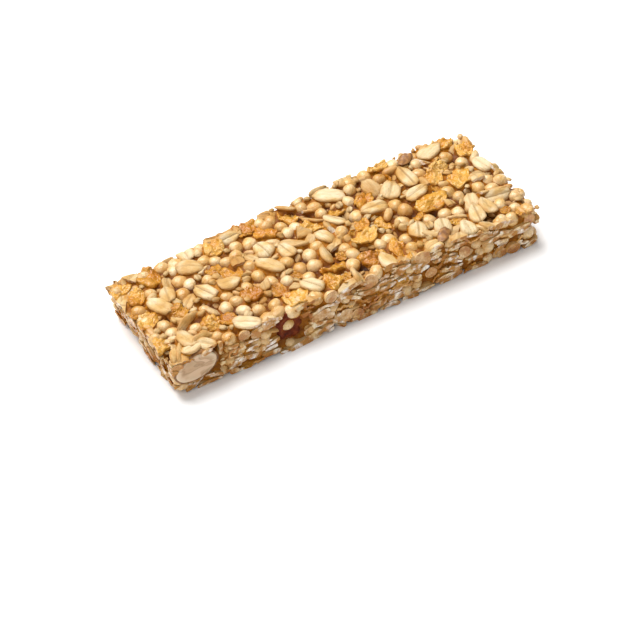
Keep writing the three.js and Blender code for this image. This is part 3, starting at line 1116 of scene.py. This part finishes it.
def evaluated(data, modifiers):
    """A mesh after a stack of modifiers, each a type and its settings"""
    shell = bpy.data.objects.new("shell", data)
    bpy.context.scene.collection.objects.link(shell)
    for index, (kind, settings) in enumerate(modifiers):
        modifier = shell.modifiers.new(f"step_{index}", kind)
        for name, value in settings.items():
            setattr(modifier, name, value)
    depsgraph = bpy.context.evaluated_depsgraph_get()
    made = bpy.data.meshes.new_from_object(shell.evaluated_get(depsgraph))
    bpy.data.objects.remove(shell)
    return made


# How deep the bulk of the syrup starts below each face: the knife smears it over the cuts
BULK_DEPTH = {"left": 0.7, "right": 1.8, "front": 1.2, "back": 1.2, "under": 0.7, "top": 3.4}
BULK_START = 0.9  # the share of the bar's size that its block starts from
VOXEL = 0.55
SYRUP_REACH = 0.38  # gaps narrower than twice this are bridged with syrup
SYRUP_SINKS = 0.52  # elsewhere the syrup lies that far inside the grains
SYRUP_LUMPS, LUMP_SIZE = 0.35, 1.3


def bulk_of_syrup():
    """A block that keeps its depth below every face of the bar"""
    bulk = bmesh.new()
    bmesh.ops.create_cube(bulk, size=2)
    bmesh.ops.subdivide_edges(bulk, edges=bulk.edges[:], cuts=15, use_grid_fill=True)
    ways = [vert.co.copy() for vert in bulk.verts]
    for vert, way in zip(bulk.verts, ways):
        reach = BULK_START * (high - low) / 2
        vert.co = (high + low) / 2 + Vector(way[i] * reach[i] for i in range(3))
    for name, axis, side in FACES:
        points = np.array([vert.co for vert in bulk.verts])
        depth = faces[name].depth(points)
        for vert, way, deep in zip(bulk.verts, ways, depth):
            share = max(0.0, way[axis] * side)
            vert.co[axis] += share * side * (float(deep) - BULK_DEPTH[name])
    return bulk


def syrup(kinds):
    """Syrup that fills the bulk and bridges the narrow gaps between grains"""
    bulk = bulk_of_syrup()
    bmesh.ops.scale(bulk, vec=(MM, MM, MM), verts=bulk.verts)
    for data in kinds:
        bulk.from_mesh(data)
    joined = bpy.data.meshes.new("syrup")
    bulk.to_mesh(joined)
    bulk.free()
    voxel = {"mode": "VOXEL", "voxel_size": VOXEL * MM, "use_smooth_shade": True}
    grown = {"strength": SYRUP_REACH * MM, "mid_level": 0.0}
    shrunk = {"strength": -(SYRUP_REACH + SYRUP_SINKS) * MM, "mid_level": 0.0}
    steps = [
        ("REMESH", voxel),
        ("DISPLACE", grown),
        ("REMESH", voxel),
        ("DISPLACE", shrunk),
        ("SMOOTH", {"factor": 0.5, "iterations": 2}),
    ]
    made = largest_part(evaluated(joined, steps))
    places = [vert.co / MM for vert in made.vertices]
    normals = [vert.normal.copy() for vert in made.vertices]
    raised = [SYRUP_LUMPS * lumps(place, LUMP_SIZE, 2) for place in places]
    moved = np.array([p + n * height for p, n, height in zip(places, normals, raised)])
    made.vertices.foreach_set("co", (moved * MM).ravel().astype(np.float32))
    made.update()
    return made


def largest_part(data):
    """The mesh without the shut bubbles inside it"""
    whole = bmesh.new()
    whole.from_mesh(data)
    unseen, parts = set(whole.verts), []
    while unseen:
        front = [unseen.pop()]
        part = list(front)
        while front:
            near = {edge.other_vert(vert) for vert in front for edge in vert.link_edges} & unseen
            unseen -= near
            front = list(near)
            part += front
        parts.append(part)
    parts.sort(key=len)
    bmesh.ops.delete(whole, geom=sum(parts[:-1], []), context="VERTS")
    whole.to_mesh(data)
    whole.free()
    return data


ALMOND_TILT = 9  # degrees, higher at its right
ALMOND_HALF = (6.42, 4.1)  # of its cut, along and up
ALMOND_TAPER = 0.35  # how much narrower it gets from its cut to its tip
NUT_SKIN = 0.3


def almond_point(way, shrink):
    """A point of the whole almond in a direction, about the middle of the cut"""
    lowest, highest = almond_box
    x, y, z = way
    waist = 1 - ALMOND_TAPER * max(0, y) ** 2
    dent = 1 + 0.03 * lumps(way, 0.5, 3)
    along, up = ALMOND_HALF
    half = Vector((along, highest.y - lowest.y, up)) - Vector((shrink, shrink, shrink))
    point = Vector((x * waist * half.x * dent, y * half.y, z * waist * half.z * dent))
    point.rotate(Matrix.Rotation(math.radians(-ALMOND_TILT), 4, "Y"))
    return point


def almond_centre():
    """The middle of the almond's cut face"""
    lowest, highest = almond_box
    return Vector(((lowest.x + highest.x) / 2, lowest.y, (lowest.z + highest.z) / 2))


def sphere_along_y(rings):
    """A unit sphere whose rings lie round the Y axis"""
    ball = bmesh.new()
    turned = Matrix.Rotation(math.radians(90), 4, "X")
    bmesh.ops.create_uvsphere(ball, u_segments=64, v_segments=rings, radius=1, matrix=turned)
    return ball


def almond_flesh():
    """The almond's pale inside: its cut face is a little domed, and grooved by the knife"""
    nut = sphere_along_y(48)
    for vert in nut.verts:
        way = vert.co.copy()
        vert.co = almond_point(way, NUT_SKIN)
        if way.y < 0.01:
            inner = way.y * way.y
            swirl = lumps((way.x * 1.2, way.z * 0.6 + way.x * 0.3, 0), 0.34, 5)
            vert.co.y = 0.22 - 0.5 * min(1, 6 * inner) + 0.22 * inner * swirl
    bmesh.ops.translate(nut, verts=nut.verts, vec=almond_centre())
    return smoothed(nut)


def almond_skin():
    """The almond's thin brown skin, which shows as a line round the cut"""
    skin = sphere_along_y(32)
    front = [vert for vert in skin.verts if vert.co.y < -0.01]
    bmesh.ops.delete(skin, geom=front, context="VERTS")
    outer = skin.verts[:]
    copied = bmesh.ops.duplicate(skin, geom=skin.verts[:] + skin.edges[:] + skin.faces[:])
    inner = [item for item in copied["geom"] if isinstance(item, bmesh.types.BMVert)]
    for group, shrink in ((outer, 0.0), (inner, NUT_SKIN)):
        for vert in group:
            ragged = 0.12 * lumps(vert.co, 0.2, 8) if vert.co.y < 0.01 else 0.0
            vert.co = almond_point(vert.co, shrink)
            vert.co.y += ragged
    rims = [edge for edge in skin.edges if edge.is_boundary]
    bmesh.ops.bridge_loops(skin, edges=rims)
    bmesh.ops.recalc_face_normals(skin, faces=skin.faces[:])
    bmesh.ops.translate(skin, verts=skin.verts, vec=almond_centre())
    return smoothed(skin)


CRANBERRY_PROUD = 0.6  # its torn front bulges past the cut by as much
CRANBERRY_ASIDE = 0.5  # and lies further left
SOCKET_WIDTH, SOCKET_DEPTH = 2.6, 1.9  # the hollow round the ball in the cranberry


def cranberry():
    """A dried cranberry, torn open by the knife: folds run down into it"""
    lowest, highest = cranberry_box
    middle = (lowest + highest) / 2
    berry = bmesh.new()
    bmesh.ops.create_icosphere(berry, subdivisions=5, radius=1)
    half = (highest - lowest) / 2
    socket_x, socket_z = BALL_AT
    for vert in berry.verts:
        fold = abs(lumps(vert.co, 0.7, 2))
        swell = 1.04 + 0.25 * (fold - 0.3) + 0.05 * lumps(vert.co, 0.25, 6)
        vert.co = Vector(vert.co[i] * half[i] * swell for i in range(3)) + middle
        vert.co.x -= CRANBERRY_ASIDE
        front = lowest.y - CRANBERRY_PROUD + 0.6 * fold
        vert.co.y = max(vert.co.y - CRANBERRY_PROUD, front)
        off = math.hypot(vert.co.x - socket_x, vert.co.z - socket_z) / SOCKET_WIDTH
        if vert.co.y < middle.y:
            vert.co.y = min(middle.y, vert.co.y + SOCKET_DEPTH * math.exp(-off * off))
    return smoothed(berry)


# Curled bits of almond skin on the top: x, y, turn, length and width
SKIN_CHIPS = ((36.2, 17.0, 25, 5.6, 3.4), (27.3, -16.6, 40, 5.8, 3.2))


def skin_chips():
    """Loose bits of almond skin, curled as they dried"""
    chips = bmesh.new()
    for x, y, turn, length, width in SKIN_CHIPS:
        made = bmesh.ops.create_grid(chips, x_segments=9, y_segments=7, size=1)["verts"]
        top = float(faces["top"].depth((x, y, 0.0)))
        for vert in made:
            u, v = vert.co.x, vert.co.y
            u, v = u * math.sqrt(1 - v * v / 2), v * math.sqrt(1 - u * u / 2)
            rim = 1 + 0.3 * lumps((u, v, 0), 0.6, length)
            curl = 0.6 * u * v - 0.35 * v * v + 0.25 * lumps((u, v, 0), 0.4, width)
            vert.co = Vector((u * length / 2 * rim, v * width / 2 * rim, curl))
        place = Matrix.Translation((x, y, top + 0.2)) @ Matrix.Rotation(math.radians(turn), 4, "Z")
        tip = place @ Matrix.Rotation(math.radians(9), 4, "X")
        bmesh.ops.transform(chips, matrix=tip, verts=made)
    bmesh.ops.solidify(chips, geom=chips.faces[:], thickness=0.18)
    bmesh.ops.recalc_face_normals(chips, faces=chips.faces[:])
    return smoothed(chips)


# ---------------------------------------------------------------- the bar

oat = glazed_oat()
skin = dried_almond_skin()
FINISHES = {
    "rolled_oats": oat,
    "broken_oats": oat,
    "crumbs": oat,
    "cereal_balls": glazed_puffed_cereal(),
    "rice_puffs": glazed_puffed_rice(),
    "corn_flakes": glazed_corn_flake(),
}

grains = fill_slab()
pieces = [
    finished(name, mesh, FINISHES[name], "cereal", "cereal_block")
    for name, mesh in joined_grains(grains).items()
]
binder = syrup([piece.data for piece in pieces])
placed("syrup", binder, boiled_syrup(), "cereal", "cereal_block")
finished("almond_flesh", almond_flesh(), cut_almond_flesh(), "almond", "cut_almond")
finished("almond_skin", almond_skin(), skin, "almond", "cut_almond")
finished("cranberry_flesh", cranberry(), dried_cranberry(), "cranberry", "cranberry_piece")
finished("almond_skin_chips", skin_chips(), skin, "almond")

# ---------------------------------------------------------------- floor, light and camera


TABLE_HALF = 3.0  # metres, from its middle to each edge


def studio_floor():
    """A plain white table"""
    floor = bmesh.new()
    bmesh.ops.create_grid(floor, x_segments=1, y_segments=1, size=TABLE_HALF)
    data = bpy.data.meshes.new("floor")
    floor.to_mesh(data)
    floor.free()
    # Matt white laminate: an even white, in which nothing is mirrored
    constants = {"Base Color": linear("fbfbfb"), "Roughness": 0.9}
    data.materials.append(new_finish("white_table", constants)[0])
    table = bpy.data.objects.new("floor", data)
    bpy.context.scene.collection.objects.link(table)


def soft_box(name, azimuth, elevation, distance, size, watts):
    """A square soft light that looks at the bar"""
    light = bpy.data.lights.new(name, "AREA")
    light.size, light.energy = size, watts
    lamp = bpy.data.objects.new(name, light)
    bpy.context.scene.collection.objects.link(lamp)
    way = direction(azimuth, elevation)
    lamp.location = way * distance
    lamp.rotation_euler = (-way).to_track_quat("-Z", "Y").to_euler()


def direction(azimuth, elevation):
    """The way from the bar to a light or the camera, azimuth 0 being straight in front"""
    a, e = math.radians(azimuth), math.radians(elevation)
    return Vector((math.sin(a) * math.cos(e), -math.cos(a) * math.cos(e), math.sin(e)))


ROOM_STRENGTH = 0.325
# Soft lights: name, azimuth, elevation, distance and size in metres, and watts. The key light is
# behind the bar and above it, and the fill light before its left end
LIGHTS = (
    ("key", -170, 66, 0.8, 0.6, 10.2),
    ("fill", -50, 40, 0.9, 0.6, 2.0),
)


def studio():
    """White surroundings, and the soft lights"""
    world = bpy.data.worlds.new("white_room")
    world.use_nodes = True
    world.node_tree.nodes["Background"].inputs["Color"].default_value = linear("ffffff")
    world.node_tree.nodes["Background"].inputs["Strength"].default_value = ROOM_STRENGTH
    bpy.context.scene.world = world
    for light in LIGHTS:
        soft_box(*light)
    bpy.context.scene.view_settings.view_transform = "Standard"


CAMERA_AZIMUTH, CAMERA_ELEVATION, CAMERA_ROLL = -27.2, 40.0, -5.27
CAMERA_DISTANCE, CAMERA_LENS = 709.0, 150.0
AIM_RIGHT, AIM_UP = -1.5, -10.9  # where it aims, from the origin, across its view


def camera():
    """A long lens, turned a little about its own axis"""
    back = direction(CAMERA_AZIMUTH, CAMERA_ELEVATION)
    right = Vector((0, 0, 1)).cross(back).normalized()
    up = back.cross(right)
    roll = math.radians(CAMERA_ROLL)
    across = right * math.cos(roll) + up * math.sin(roll)
    upward = up * math.cos(roll) - right * math.sin(roll)
    eye = back * CAMERA_DISTANCE
    away = (eye - across * AIM_RIGHT - upward * AIM_UP).normalized()
    across = upward.cross(away).normalized()
    upward = away.cross(across)
    turned = Matrix((across, upward, away)).transposed().to_4x4()
    data = bpy.data.cameras.new("camera")
    data.lens, data.sensor_width = CAMERA_LENS, 36.0
    holder = bpy.data.objects.new("camera", data)
    holder.matrix_world = Matrix.Translation(eye * MM) @ turned
    bpy.context.scene.collection.objects.link(holder)
    bpy.context.scene.camera = holder


studio_floor()
studio()
camera()
